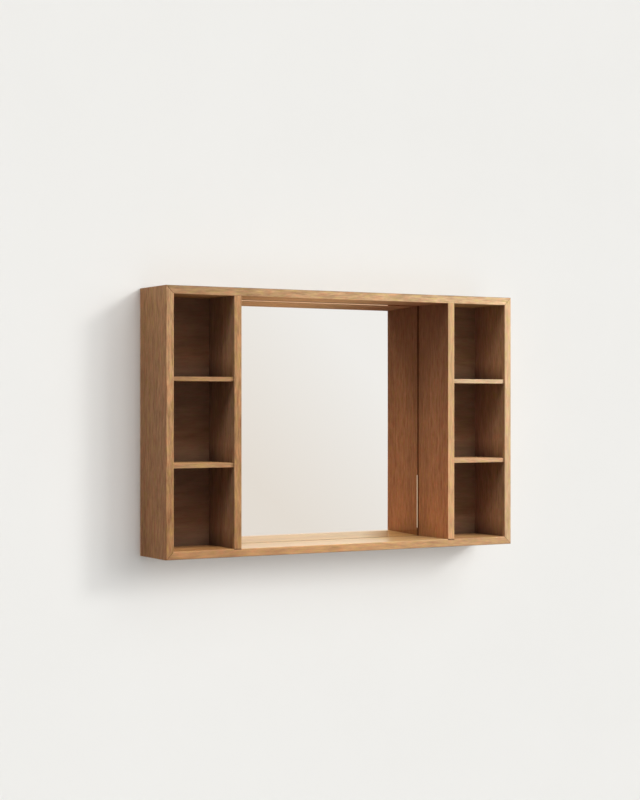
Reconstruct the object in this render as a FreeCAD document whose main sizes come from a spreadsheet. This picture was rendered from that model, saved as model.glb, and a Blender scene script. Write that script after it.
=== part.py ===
import FreeCAD, Part
import math
import os

import Sketcher

# Open wall cabinet in solid wood: a mirror bay between two side bays with fixed shelves.
# X runs to the right, Y from the front to the wall and Z up, in millimetres. The wall is the
# plane Y = 0, and the origin lies midway between the two keyholes that the cabinet hangs by.

document = FreeCAD.newDocument("mirror_cabinet")
sheet = document.addObject("Spreadsheet::Sheet", "sizes")

driving_sizes = [
    ("overall_width", 1000.0, "outside, left to right"),
    ("overall_height", 650.0, "outside, bottom to top"),
    ("overall_depth", 150.0, "front edge to wall"),
    ("board_thickness", 20.0, "frame boards and dividers"),
    ("edge_ease", 1.5, "rounding of the boards' front edges"),
    ("sill_ease", 3.0, "fuller rounding along the bottom board's inner edge"),
    ("mitre_ease", 0.4, "chamfer that marks the mitres in front"),
    ("side_bay_width", 160.0, "clear width of each side bay"),
    ("shelf_thickness", 11.0, "side bay shelves"),
    ("shelf_setback", 5.0, "shelf front behind the boards' front"),
    ("shelf_ease", 1.0, "rounding of the shelves' front edges"),
    ("back_panel_thickness", 6.0, "panels behind the side bays"),
    ("back_panel_inset", 7.0, "rear of those panels in front of the wall"),
    ("groove_depth", 4.0, "grooves that hold those panels"),
    ("groove_end_gap", 0.5, "room for the panels to swell"),
    ("groove_clearance", 0.1, "play on each face of a panel"),
    ("mirror_thickness", 5.0, "glass"),
    ("mirror_side_gap", 3.0, "gap on each side of the glass"),
    ("mirror_end_gap", 0.5, "gap above and below the glass"),
    ("mirror_arris", 0.4, "polished bevel at the front of the glass"),
    ("tape_thickness", 1.0, "tape between glass and backing board"),
    ("tape_width", 25.0, "one strip of tape"),
    ("tape_margin", 40.0, "tape from the edges of the glass"),
    ("tape_count", 4.0, "strips side by side"),
    ("backing_thickness", 4.0, "board behind the mirror"),
    ("backing_inset", 0.5, "rear of that board in front of the wall"),
    ("rebate_width", 10.0, "rebate that takes the board's rim"),
    ("rebate_end_gap", 1.0, "gap between the board's rim and the rebate"),
    ("backing_screw_line", 5.0, "screw line outside the mirror bay"),
    ("backing_screw_corner", 60.0, "outer screws from the bay's corners"),
    ("screw_diameter", 3.0, "countersunk wood screws"),
    ("screw_length", 14.0, "whole screw"),
    ("screw_head_diameter", 5.5, "screw head"),
    ("screw_head_height", 1.4, "screw head"),
    ("screw_head_rim", 0.2, "straight rim of the head"),
    ("screw_clearance", 0.1, "play around the shank"),
    ("countersink_clearance", 0.35, "play around the head"),
    ("divider_dowel_diameter", 8.0, "dowels at the divider ends"),
    ("divider_dowel_length", 30.0, "whole dowel"),
    ("divider_dowel_depth", 12.0, "its part in the top or bottom board"),
    ("divider_dowel_edge", 25.0, "dowel from the front and from the back panel"),
    ("shelf_dowel_diameter", 6.0, "dowels at the shelf ends"),
    ("shelf_dowel_length", 24.0, "whole dowel"),
    ("shelf_dowel_depth", 12.0, "its part in the upright"),
    ("shelf_dowel_edge", 25.0, "dowel from the shelf's front and rear"),
    ("dowel_chamfer", 1.0, "dowel ends"),
    ("dowel_clearance", 0.1, "play around a dowel"),
    ("dowel_end_gap", 1.0, "glue room past a dowel's end"),
    ("spline_thickness", 4.0, "loose strip across a mitre"),
    ("spline_width", 16.0, "half of it in each board"),
    ("spline_heel", 11.0, "strip's middle from the inner corner"),
    ("spline_stop", 25.0, "strip's ends from the front and the wall"),
    ("spline_clearance", 0.1, "play around the strip"),
    ("spline_end_gap", 0.5, "glue room past the strip"),
    ("keyhole_drop", 80.0, "keyhole entries below the top"),
    ("keyhole_entry_diameter", 9.5, "lets a wall screw's head in"),
    ("keyhole_slot_width", 5.0, "holds the wall screw's shank"),
    ("keyhole_slot_rise", 11.0, "shank seat above the entry"),
    ("plate_thickness", 2.5, "keyhole plate"),
    ("plate_width", 14.0, "keyhole plate"),
    ("plate_corner", 5.0, "rounding of the plate's corners"),
    ("plate_tail", 21.0, "plate below the entry"),
    ("plate_reach", 32.0, "plate above the entry"),
    ("plate_screw_edge", 6.0, "screws from the plate's ends"),
    ("plate_clearance", 0.1, "play around the plate"),
    ("head_pocket_depth", 5.0, "room for the wall screw's head"),
    ("head_pocket_clearance", 0.25, "play around that head"),
]
for row, (alias, number, note) in enumerate(driving_sizes, start=1):
    sheet.set(f"A{row}", note)
    sheet.set(f"B{row}", str(number))
    sheet.setAlias(f"B{row}", alias)
document.recompute()

# Lines of the front view. Those across are measured from the middle.
half_width = "(sizes.overall_width / 2)"
inner_half = f"({half_width} - sizes.board_thickness)"
divider_outer = f"({inner_half} - sizes.side_bay_width)"
divider_inner = f"({divider_outer} - sizes.board_thickness)"
divider_middle = f"({divider_inner} + sizes.board_thickness / 2)"
upright_middle = f"({half_width} - sizes.board_thickness / 2)"
outer_top = "sizes.keyhole_drop"
outer_bottom = "(sizes.keyhole_drop - sizes.overall_height)"
inner_top = f"({outer_top} - sizes.board_thickness)"
inner_bottom = f"({outer_bottom} + sizes.board_thickness)"
middle_height = f"(({inner_top} + {inner_bottom}) / 2)"
compartment = f"(({inner_top} - {inner_bottom} - 2 * sizes.shelf_thickness) / 3)"
shelf_middles = {
    "upper": f"({inner_top} - {compartment} - sizes.shelf_thickness / 2)",
    "lower": f"({inner_bottom} + {compartment} + sizes.shelf_thickness / 2)",
}

# Distances in front of the wall
bay_back = "(sizes.back_panel_inset + sizes.back_panel_thickness)"
backing_front = "(sizes.backing_inset + sizes.backing_thickness)"
glass_back = f"({backing_front} + sizes.tape_thickness)"
shelf_front = "(sizes.overall_depth - sizes.shelf_setback)"

sides = {"left": -1, "right": 1}
levels = {"top": 1, "bottom": -1}
inner_level = {"top": inner_top, "bottom": inner_bottom}
outer_level = {"top": outer_top, "bottom": outer_bottom}


def size(alias):
    return sheet.get(alias)


def new_body(name, several_solids=False):
    body = document.addObject("PartDesign::Body", name)
    body.Label = name
    body.AllowCompound = several_solids
    return body


def new_sketch(body, name, plane, offset):
    # A sketch on one of the body's own planes, moved along the plane's normal
    sketch = body.newObject("Sketcher::SketchObject", f"{body.Label}_{name}_outline")
    origin_plane = next(item for item in body.Origin.OriginFeatures if item.Role == plane)
    sketch.AttachmentSupport = [(origin_plane, "")]
    sketch.MapMode = "FlatFace"
    sketch.setExpression("AttachmentOffset.Base.z", offset)
    return sketch


def front_view(body, name, in_front_of_wall):
    # The normal of this plane points from the wall to the front
    return new_sketch(body, name, "XZ_Plane", in_front_of_wall)


def bind(sketch, constraint, expression):
    index = sketch.addConstraint(constraint)
    sketch.setExpression(f"Constraints[{index}]", expression)


def pin_point(sketch, geometry, end, start, place):
    # Holds a point of the sketch at its distances from the sketch's origin
    bind(sketch, Sketcher.Constraint("DistanceX", -1, 1, geometry, end, start.x), place[0])
    bind(sketch, Sketcher.Constraint("DistanceY", -1, 1, geometry, end, start.y), place[1])


def add_polygon(sketch, corners):
    count = len(corners)
    turn = 2 * math.pi / count
    start = [FreeCAD.Vector(math.cos(turn * i), math.sin(turn * i), 0) for i in range(count)]
    first = sketch.GeometryCount
    for i in range(count):
        sketch.addGeometry(Part.LineSegment(start[i], start[(i + 1) % count]))
    for i, corner in enumerate(corners):
        following = first + (i + 1) % count
        sketch.addConstraint(Sketcher.Constraint("Coincident", first + i, 2, following, 1))
        pin_point(sketch, first + i, 1, start[i], corner)


def add_rectangle(sketch, low, high):
    add_polygon(sketch, [low, (high[0], low[1]), high, (low[0], high[1])])


def add_circles(sketch, centres, diameter):
    start = FreeCAD.Vector(0, 0, 0)
    for centre in centres:
        circle = sketch.addGeometry(Part.Circle(start, FreeCAD.Vector(0, 0, 1), 1.0))
        pin_point(sketch, circle, 3, start, centre)
        bind(sketch, Sketcher.Constraint("Diameter", circle, 2.0), diameter)


def pad(body, name, sketch, length):
    feature = body.newObject("PartDesign::Pad", f"{body.Label}_{name}")
    feature.Profile = sketch
    feature.setExpression("Length", length)
    document.recompute()


def pocket(body, name, sketch, depth, along_normal):
    volume_before = body.Shape.Volume
    feature = body.newObject("PartDesign::Pocket", f"{body.Label}_{name}")
    feature.Profile = sketch
    feature.setExpression("Length", depth)
    feature.Reversed = along_normal
    document.recompute()
    if body.Shape.Volume >= volume_before:
        raise RuntimeError(f"{feature.Label} cuts nothing")


def dress_edges(body, kind, name, wanted, measure, expression):
    # A fillet or chamfer on the edges that the test wanted picks out
    base = body.Tip
    names = [f"Edge{i}" for i, edge in enumerate(base.Shape.Edges, start=1) if wanted(edge)]
    feature = body.newObject(f"PartDesign::{kind}", f"{body.Label}_{name}")
    feature.Base = (base, names)
    feature.setExpression(measure, expression)
    document.recompute()


along_x = FreeCAD.Vector(1, 0, 0)
along_y = FreeCAD.Vector(0, 1, 0)
along_z = FreeCAD.Vector(0, 0, 1)


def runs_along(edge, axis):
    return edge.Curve.TypeId == "Part::GeomLine" and abs(edge.Curve.Direction.dot(axis)) > 0.999


def lies_at(edge, depth):
    return all(abs(vertex.Point.y - depth) < 1e-6 for vertex in edge.Vertexes)


def is_circle(edge, diameter):
    return edge.Curve.TypeId == "Part::GeomCircle" and abs(2 * edge.Curve.Radius - diameter) < 1e-6


def ease_front(body, axis, radius):
    front = body.Shape.BoundBox.YMin
    dress_edges(body, "Fillet", "ease", lambda edge: runs_along(edge, axis) and lies_at(edge, front),
                "Radius", radius)


def ease_level_edge(body, name, height, radius):
    # One front edge of a level board
    front = body.Shape.BoundBox.YMin
    dress_edges(body, "Fillet", name,
                lambda edge: runs_along(edge, along_x) and lies_at(edge, front)
                and abs(edge.Vertexes[0].Point.z - height) < 1e-6,
                "Radius", radius)


def ease_mitres(body):
    # The leaning front edges at both ends of a mitred board
    front = body.Shape.BoundBox.YMin
    dress_edges(body, "Chamfer", "mitre_ease",
                lambda edge: lies_at(edge, front) and not runs_along(edge, along_x)
                and not runs_along(edge, along_z),
                "Size", "sizes.mitre_ease")


# Back panel and backing board, with the grooves and the rebate that take them

def back_panel_outline(sketch, side, reach):
    # The side bay's opening, grown on all four sides
    add_rectangle(
        sketch,
        (f"{sides[side]} * ({divider_outer} - {reach})", f"{inner_bottom} - {reach}"),
        (f"{sides[side]} * ({inner_half} + {reach})", f"{inner_top} + {reach}"),
    )


def cut_panel_groove(body, bays):
    sketch = front_view(body, "groove", "sizes.back_panel_inset - sizes.groove_clearance")
    for side in bays:
        back_panel_outline(sketch, side, "sizes.groove_depth")
    pocket(body, "groove", sketch, "sizes.back_panel_thickness + 2 * sizes.groove_clearance", True)


def mirror_bay_outline(sketch, reach):
    add_rectangle(
        sketch,
        (f"-({divider_inner} + {reach})", f"{inner_bottom} - {reach}"),
        (f"{divider_inner} + {reach}", f"{inner_top} + {reach}"),
    )


def cut_rebate(body):
    sketch = front_view(body, "rebate", "0")
    mirror_bay_outline(sketch, "sizes.rebate_width")
    pocket(body, "rebate", sketch, backing_front, True)


# Screws, with their pilot holes and countersinks

screw_across = f"({divider_inner} - sizes.backing_screw_corner)"
screw_up = f"({inner_top} - sizes.backing_screw_corner)"
screw_down = f"({inner_bottom} + sizes.backing_screw_corner)"
upright_screws = {
    side: [
        (f"{sign} * ({divider_inner} + sizes.backing_screw_line)", height)
        for height in (screw_up, middle_height, screw_down)
    ]
    for side, sign in sides.items()
}
level_screws = {
    level: [
        (across, f"{inner_level[level]} + {sign} * sizes.backing_screw_line")
        for across in (f"-{screw_across}", "0", screw_across)
    ]
    for level, sign in levels.items()
}
backing_screws = [
    place
    for group in (*upright_screws.values(), *level_screws.values())
    for place in group
]
plate_screws = {
    side: [
        (f"{sign} * {upright_middle}", height)
        for height in (
            "sizes.plate_screw_edge - sizes.plate_tail",
            "sizes.plate_reach - sizes.plate_screw_edge",
        )
    ]
    for side, sign in sides.items()
}
screw_hole = "(sizes.screw_diameter + 2 * sizes.screw_clearance)"


def cut_pilot_holes(body, places, head_level):
    sketch = front_view(body, "pilot_holes", head_level)
    add_circles(sketch, places, screw_hole)
    pocket(body, "pilot_holes", sketch, "sizes.screw_length + sizes.screw_clearance", True)


def cut_countersunk_holes(body, places, head_level, thickness):
    rear = body.Shape.BoundBox.YMax
    sketch = front_view(body, "screw_holes", head_level)
    add_circles(sketch, places, screw_hole)
    pocket(body, "screw_holes", sketch, thickness, True)
    hole = size("screw_diameter") + 2 * size("screw_clearance")
    dress_edges(body, "Chamfer", "countersinks", lambda edge: is_circle(edge, hole) and lies_at(edge, rear),
                "Size", f"sizes.screw_head_diameter / 2 + sizes.countersink_clearance - {screw_hole} / 2")


def make_screws(name, places, head_level):
    body = new_body(name, several_solids=True)
    heads = front_view(body, "heads", head_level)
    add_circles(heads, places, "sizes.screw_head_diameter")
    pad(body, "heads", heads, "sizes.screw_head_height")
    inner = body.Shape.BoundBox.YMin
    dress_edges(body, "Chamfer", "cones",
                lambda edge: is_circle(edge, size("screw_head_diameter")) and lies_at(edge, inner),
                "Size", "sizes.screw_head_height - sizes.screw_head_rim")
    shanks = front_view(body, "shanks", head_level)
    add_circles(shanks, places, "sizes.screw_diameter")
    pad(body, "shanks", shanks, "sizes.screw_length")


# Dowels, with their holes

def depth_row(front, edge, count):
    # Evenly spaced places along Y between the bay's back and a front
    nearest = f"({bay_back} + {edge})"
    spread = f"({front} - {edge} - {nearest})"
    return [f"-({nearest} + {spread} * {i} / {count - 1})" for i in range(count)]


divider_dowel_rows = depth_row("sizes.overall_depth", "sizes.divider_dowel_edge", 3)
divider_dowels = {
    side: [(f"{sign} * {divider_middle}", row) for row in divider_dowel_rows]
    for side, sign in sides.items()
}
divider_dowel_hole = "sizes.divider_dowel_diameter + 2 * sizes.dowel_clearance"
divider_dowel_rest = "(sizes.divider_dowel_length - sizes.divider_dowel_depth)"
shelf_dowel_rows = depth_row(shelf_front, "sizes.shelf_dowel_edge", 2)
shelf_dowels = {
    height: [(row, middle) for row in shelf_dowel_rows]
    for height, middle in shelf_middles.items()
}
shelf_dowel_hole = "sizes.shelf_dowel_diameter + 2 * sizes.dowel_clearance"
shelf_dowel_rest = "(sizes.shelf_dowel_length - sizes.shelf_dowel_depth)"


def cut_divider_dowel_holes(body, level, places, depth, upward):
    sketch = new_sketch(body, f"{level}_dowels", "XY_Plane", inner_level[level])
    add_circles(sketch, places, divider_dowel_hole)
    pocket(body, f"{level}_dowels", sketch, f"{depth} + sizes.dowel_end_gap", upward)


def cut_shelf_dowel_holes(body, name, face, heights, depth, rightward):
    sketch = new_sketch(body, name, "YZ_Plane", face)
    for height in heights:
        add_circles(sketch, shelf_dowels[height], shelf_dowel_hole)
    pocket(body, name, sketch, f"{depth} + sizes.dowel_end_gap", rightward)


def chamfer_dowels(body, diameter):
    dress_edges(body, "Chamfer", "ends", lambda edge: is_circle(edge, diameter),
                "Size", "sizes.dowel_chamfer")


def make_divider_dowels():
    body = new_body("divider_dowels", several_solids=True)
    starts = {
        "top": f"{inner_top} - {divider_dowel_rest}",
        "bottom": f"{inner_bottom} - sizes.divider_dowel_depth",
    }
    for level, start in starts.items():
        sketch = new_sketch(body, level, "XY_Plane", start)
        for places in divider_dowels.values():
            add_circles(sketch, places, "sizes.divider_dowel_diameter")
        pad(body, level, sketch, "sizes.divider_dowel_length")
    chamfer_dowels(body, size("divider_dowel_diameter"))


def make_shelf_dowels():
    body = new_body("shelf_dowels", several_solids=True)
    starts = {
        "left_side": f"-{inner_half} - sizes.shelf_dowel_depth",
        "left_divider": f"-{divider_outer} - {shelf_dowel_rest}",
        "right_divider": f"{divider_outer} - sizes.shelf_dowel_depth",
        "right_side": f"{inner_half} - {shelf_dowel_rest}",
    }
    for name, start in starts.items():
        sketch = new_sketch(body, name, "YZ_Plane", start)
        for places in shelf_dowels.values():
            add_circles(sketch, places, "sizes.shelf_dowel_diameter")
        pad(body, name, sketch, "sizes.shelf_dowel_length")
    chamfer_dowels(body, size("shelf_dowel_diameter"))


# Splines across the mitres, with their grooves

def spline_outline(sketch, side, level, width_room, thickness_room):
    # A narrow rectangle square to the mitre, which leans at 45 degrees
    across, up = sides[side], levels[level]
    half_length = f"(sizes.spline_width / 2 + {width_room})"
    half_thickness = f"(sizes.spline_thickness / 2 + {thickness_room})"
    corners = []
    for end, face in ((-1, -1), (1, -1), (1, 1), (-1, 1)):
        outward = f"(sizes.spline_heel + {face} * {half_thickness})"
        over = f"({end} * {half_length})"
        corners.append((
            f"{across} * ({inner_half} + sqrt(0.5) * ({outward} - {over}))",
            f"{inner_level[level]} + {up} * sqrt(0.5) * ({outward} + {over})",
        ))
    add_polygon(sketch, corners)


def cut_spline_grooves(body, corners):
    sketch = front_view(body, "splines", "sizes.spline_stop - sizes.spline_end_gap")
    for side, level in corners:
        spline_outline(sketch, side, level, "sizes.spline_end_gap", "sizes.spline_clearance")
    pocket(body, "splines", sketch,
           "sizes.overall_depth - 2 * sizes.spline_stop + 2 * sizes.spline_end_gap", True)


def make_splines():
    body = new_body("mitre_splines", several_solids=True)
    sketch = front_view(body, "strips", "sizes.spline_stop")
    for side in sides:
        for level in levels:
            spline_outline(sketch, side, level, "0", "0")
    pad(body, "strips", sketch, "sizes.overall_depth - 2 * sizes.spline_stop")


# Keyhole plates, with the mortise that takes each

def keyhole_column(side, half):
    middle = f"{sides[side]} * {upright_middle}"
    return f"{middle} - {half}", f"{middle} + {half}"


def round_corners(body, radius):
    # The corners of a plate or mortise at the wall plane
    depth = size("plate_thickness")
    dress_edges(body, "Fillet", "plate_corners",
                lambda edge: runs_along(edge, along_y) and abs(edge.Length - depth) < 1e-6
                and any(abs(vertex.Point.y) < 1e-6 for vertex in edge.Vertexes),
                "Radius", radius)


def plate_outline(sketch, side, room):
    low, high = keyhole_column(side, f"(sizes.plate_width / 2 + {room})")
    add_rectangle(sketch, (low, f"-sizes.plate_tail - {room}"), (high, f"sizes.plate_reach + {room}"))


def cut_keyway(body, name, side, ends, width, depth):
    # A round at each named end and a straight run between entry and seat
    low, high = keyhole_column(side, f"({width}) / 2")
    run = front_view(body, f"{name}_run", "0")
    add_rectangle(run, (low, "0"), (high, "sizes.keyhole_slot_rise"))
    pocket(body, f"{name}_run", run, depth, True)
    rounds = front_view(body, f"{name}_rounds", "0")
    add_circles(rounds, [(f"{sides[side]} * {upright_middle}", end) for end in ends], width)
    pocket(body, f"{name}_rounds", rounds, depth, True)


def cut_keyhole_mortise(body, side):
    sketch = front_view(body, "mortise", "0")
    plate_outline(sketch, side, "sizes.plate_clearance")
    pocket(body, "mortise", sketch, "sizes.plate_thickness", True)
    round_corners(body, "sizes.plate_corner + sizes.plate_clearance")
    cut_keyway(body, "head_pocket", side, ("0", "sizes.keyhole_slot_rise"),
               "sizes.keyhole_entry_diameter + 2 * sizes.head_pocket_clearance",
               "sizes.plate_thickness + sizes.head_pocket_depth")
    cut_pilot_holes(body, plate_screws[side], "0")


def make_keyhole_plate(side):
    body = new_body(f"{side}_keyhole_plate")
    sketch = front_view(body, "plate", "0")
    plate_outline(sketch, side, "0")
    pad(body, "plate", sketch, "sizes.plate_thickness")
    round_corners(body, "sizes.plate_corner")
    cut_keyway(body, "slot", side, ("sizes.keyhole_slot_rise",), "sizes.keyhole_slot_width",
               "sizes.plate_thickness")
    entry = front_view(body, "entry", "0")
    add_circles(entry, [(f"{sides[side]} * {upright_middle}", "0")], "sizes.keyhole_entry_diameter")
    pocket(body, "entry", entry, "sizes.plate_thickness", True)
    cut_countersunk_holes(body, plate_screws[side], "0", "sizes.plate_thickness")


# Boards

def make_level_board(level):
    # Top or bottom board, mitred at both ends
    body = new_body(f"{level}_panel")
    outline = front_view(body, "board", "0")
    add_polygon(outline, [
        (f"-{half_width}", outer_level[level]),
        (half_width, outer_level[level]),
        (inner_half, inner_level[level]),
        (f"-{inner_half}", inner_level[level]),
    ])
    pad(body, "board", outline, "sizes.overall_depth")
    ease_mitres(body)
    box = body.Shape.BoundBox
    upper_radius = "sizes.sill_ease" if level == "bottom" else "sizes.edge_ease"
    ease_level_edge(body, "upper_ease", box.ZMax, upper_radius)
    ease_level_edge(body, "lower_ease", box.ZMin, "sizes.edge_ease")
    cut_panel_groove(body, sides)
    cut_rebate(body)
    cut_spline_grooves(body, [(side, level) for side in sides])
    places = [place for side in sides for place in divider_dowels[side]]
    cut_divider_dowel_holes(body, level, places, "sizes.divider_dowel_depth", level == "top")
    cut_pilot_holes(body, level_screws[level], "sizes.backing_inset")


def make_side_board(side):
    # Outer upright, mitred at both ends
    body = new_body(f"{side}_side_panel")
    sign = sides[side]
    outline = front_view(body, "board", "0")
    add_polygon(outline, [
        (f"{sign} * {half_width}", outer_bottom),
        (f"{sign} * {half_width}", outer_top),
        (f"{sign} * {inner_half}", inner_top),
        (f"{sign} * {inner_half}", inner_bottom),
    ])
    pad(body, "board", outline, "sizes.overall_depth")
    ease_mitres(body)
    ease_front(body, along_z, "sizes.edge_ease")
    cut_panel_groove(body, [side])
    cut_spline_grooves(body, [(side, level) for level in levels])
    cut_shelf_dowel_holes(body, "shelf_dowels", f"{sign} * {inner_half}", shelf_dowels,
                          "sizes.shelf_dowel_depth", side == "right")
    cut_keyhole_mortise(body, side)


def make_divider(side):
    # Upright between a side bay and the mirror bay, butted between top and bottom
    body = new_body(f"{side}_divider")
    sign = sides[side]
    outline = front_view(body, "board", "0")
    add_rectangle(
        outline,
        (f"{sign} * {divider_inner}", inner_bottom),
        (f"{sign} * {divider_outer}", inner_top),
    )
    pad(body, "board", outline, "sizes.overall_depth")
    ease_front(body, along_z, "sizes.edge_ease")
    cut_panel_groove(body, [side])
    cut_rebate(body)
    for level in levels:
        cut_divider_dowel_holes(body, level, divider_dowels[side], divider_dowel_rest, level == "bottom")
    cut_shelf_dowel_holes(body, "shelf_dowels", f"{sign} * {divider_outer}", shelf_dowels,
                          "sizes.shelf_dowel_depth", side == "left")
    cut_pilot_holes(body, upright_screws[side], "sizes.backing_inset")


def make_shelf(side, height):
    body = new_body(f"{side}_{height}_shelf")
    sign = sides[side]
    middle = shelf_middles[height]
    outline = front_view(body, "board", bay_back)
    add_rectangle(
        outline,
        (f"{sign} * {divider_outer}", f"{middle} - sizes.shelf_thickness / 2"),
        (f"{sign} * {inner_half}", f"{middle} + sizes.shelf_thickness / 2"),
    )
    pad(body, "board", outline, f"{shelf_front} - {bay_back}")
    ease_front(body, along_x, "sizes.shelf_ease")
    for name, face in (("divider_end", divider_outer), ("side_end", inner_half)):
        into_shelf = sign if name == "divider_end" else -sign
        cut_shelf_dowel_holes(body, name, f"{sign} * {face}", [height], shelf_dowel_rest, into_shelf > 0)


def make_back_panel(side):
    body = new_body(f"{side}_back_panel")
    outline = front_view(body, "panel", "sizes.back_panel_inset")
    back_panel_outline(outline, side, "(sizes.groove_depth - sizes.groove_end_gap)")
    pad(body, "panel", outline, "sizes.back_panel_thickness")


# Mirror

def make_backing_board():
    body = new_body("mirror_backing_board")
    outline = front_view(body, "board", "sizes.backing_inset")
    mirror_bay_outline(outline, "(sizes.rebate_width - sizes.rebate_end_gap)")
    pad(body, "board", outline, "sizes.backing_thickness")
    cut_countersunk_holes(body, backing_screws, "sizes.backing_inset", "sizes.backing_thickness")


def make_mirror_glass():
    body = new_body("mirror_glass")
    outline = front_view(body, "glass", glass_back)
    half_glass = f"({divider_inner} - sizes.mirror_side_gap)"
    add_rectangle(
        outline,
        (f"-{half_glass}", f"{inner_bottom} + sizes.mirror_end_gap"),
        (half_glass, f"{inner_top} - sizes.mirror_end_gap"),
    )
    pad(body, "glass", outline, "sizes.mirror_thickness")
    front = body.Shape.BoundBox.YMin
    dress_edges(body, "Chamfer", "arris", lambda edge: lies_at(edge, front), "Size", "sizes.mirror_arris")


def make_tape_strips():
    body = new_body("mirror_tape_strips", several_solids=True)
    outline = front_view(body, "strip", backing_front)
    half_span = f"({divider_inner} - sizes.mirror_side_gap - sizes.tape_margin)"
    end_margin = "sizes.mirror_end_gap + sizes.tape_margin"
    add_rectangle(
        outline,
        (f"-{half_span}", f"{inner_bottom} + {end_margin}"),
        (f"-{half_span} + sizes.tape_width", f"{inner_top} - ({end_margin})"),
    )
    pad(body, "strip", outline, "sizes.tape_thickness")
    row_of_strips = body.newObject("PartDesign::LinearPattern", "tape_row")
    row_of_strips.Originals = [body.Tip]
    row_axis = next(item for item in body.Origin.OriginFeatures if item.Role == "X_Axis")
    row_of_strips.Direction = (row_axis, [""])
    row_of_strips.setExpression("Length", f"2 * {half_span} - sizes.tape_width")
    row_of_strips.setExpression("Occurrences", "sizes.tape_count")
    body.Tip = row_of_strips
    document.recompute()


for level in levels:
    make_level_board(level)
for side in sides:
    make_side_board(side)
    make_divider(side)
    for height in shelf_middles:
        make_shelf(side, height)
    make_back_panel(side)
    make_keyhole_plate(side)
make_backing_board()
make_mirror_glass()
make_tape_strips()
make_splines()
make_divider_dowels()
make_shelf_dowels()
make_screws("backing_board_screws", backing_screws, "sizes.backing_inset")
make_screws("keyhole_plate_screws", [place for side in sides for place in plate_screws[side]], "0")

document.recompute()
failed = [item.Label for item in document.Objects if {"Invalid", "Error"} & set(item.State)]
if failed:
    raise RuntimeError(f"failed objects: {failed}")

bodies = [item for item in document.Objects if item.TypeId == "PartDesign::Body"]
for body in bodies:
    if body.Shape.isNull() or not body.Shape.isValid():
        raise RuntimeError(f"{body.Label} has no valid shape")

os.makedirs("parts", exist_ok=True)
for body in bodies:
    body.Shape.exportStep(f"parts/{body.Label}.step")
    print(f"{body.Label}: {len(body.Shape.Solids)} solids, {body.Shape.Volume / 1000:.1f} cm3")
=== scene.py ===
import math

import bmesh
import bpy
from mathutils import Matrix, Vector


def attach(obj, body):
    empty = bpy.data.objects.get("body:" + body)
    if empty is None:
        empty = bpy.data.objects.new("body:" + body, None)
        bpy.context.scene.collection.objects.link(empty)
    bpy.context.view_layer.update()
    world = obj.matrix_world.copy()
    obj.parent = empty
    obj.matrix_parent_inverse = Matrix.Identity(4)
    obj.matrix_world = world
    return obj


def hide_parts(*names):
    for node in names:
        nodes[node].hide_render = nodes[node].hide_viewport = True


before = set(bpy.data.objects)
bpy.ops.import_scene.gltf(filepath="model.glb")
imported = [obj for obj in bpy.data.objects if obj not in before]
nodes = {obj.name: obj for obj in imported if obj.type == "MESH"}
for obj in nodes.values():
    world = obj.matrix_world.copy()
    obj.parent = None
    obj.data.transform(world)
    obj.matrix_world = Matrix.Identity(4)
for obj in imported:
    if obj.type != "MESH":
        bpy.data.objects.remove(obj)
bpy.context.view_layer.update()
scene = bpy.context.scene
print("frame loaded,", len(nodes), "nodes")


# camera, level and turned to see the cabinet from its left
camera = {
    "place": (-2.2306, -3.8823, -0.2043),
    "tilt": 90.0,  # level
    "turn": -29.927,  # degrees about the upright axis
    "lens": 78.27,
    "sensor": 36.0,
    "rise": 0.0067,  # the horizon lies a little under the middle of the picture
}


def addCamera(view):
    data = bpy.data.cameras.new("camera")
    data.lens = view["lens"]
    data.sensor_width = view["sensor"]
    data.shift_y = view["rise"]
    body = bpy.data.objects.new("camera", data)
    body.location = view["place"]
    body.rotation_euler = (math.radians(view["tilt"]), 0.0, math.radians(view["turn"]))
    scene.collection.objects.link(body)
    scene.camera = body


addCamera(camera)
print("camera placed")


# small helpers for node materials
squareOn = 0.6  # a face counts as square to an axis when its normal passes this
eased = 0.2  # and as a rounded edge past this along two axes
frontToRest = (-0.8, -0.4)  # from faces turned to the front to all the others


def startMaterial(name):
    material = bpy.data.materials.new(name)
    material.use_nodes = True
    tree = material.node_tree
    return material, tree, tree.nodes["Principled BSDF"]


def fill(tree, socket, value):
    if isinstance(value, bpy.types.NodeSocket):
        tree.links.new(value, socket)
    elif socket.type == "RGBA":
        socket.default_value = (*value, 1.0)
    else:
        socket.default_value = value


def feed(tree, node, inputs):
    for key, value in inputs.items():
        fill(tree, node.inputs[key], value)


def addNode(tree, kind, inputs=None, **values):
    node = tree.nodes.new(kind)
    for key, value in values.items():
        setattr(node, key, value)
    feed(tree, node, inputs or {})
    return node


def mathNode(tree, operation, *values):
    return addNode(tree, "ShaderNodeMath", dict(enumerate(values)), operation=operation).outputs[0]


def magnitude(tree, value):
    return mathNode(tree, "ABSOLUTE", value)


def rest(tree, share):
    return mathNode(tree, "SUBTRACT", 1.0, share)


def over(tree, value, limit):
    return mathNode(tree, "GREATER_THAN", value, limit)


def under(tree, value, limit):
    return mathNode(tree, "LESS_THAN", value, limit)


def allOf(tree, mask, *others):
    for other in others:
        mask = mathNode(tree, "MULTIPLY", mask, other)
    return mask


def between(tree, value, low, high):
    return allOf(tree, over(tree, value, low), under(tree, value, high))


def spread(tree, value, low, high, toLow=0.0, toHigh=1.0):
    node = addNode(tree, "ShaderNodeMapRange", {
        "Value": value, "From Min": low, "From Max": high, "To Min": toLow, "To Max": toHigh,
    })
    return node.outputs["Result"]


def wave(tree, value, rate):
    sine = mathNode(tree, "SINE", mathNode(tree, "MULTIPLY", value, rate))
    return spread(tree, sine, -1.0, 1.0)


def mixColours(tree, share, first, second, blend="MIX"):
    inputs = {0: share, 6: first, 7: second}  # the colour sockets
    return addNode(tree, "ShaderNodeMix", inputs, data_type="RGBA", blend_type=blend).outputs[2]


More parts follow.
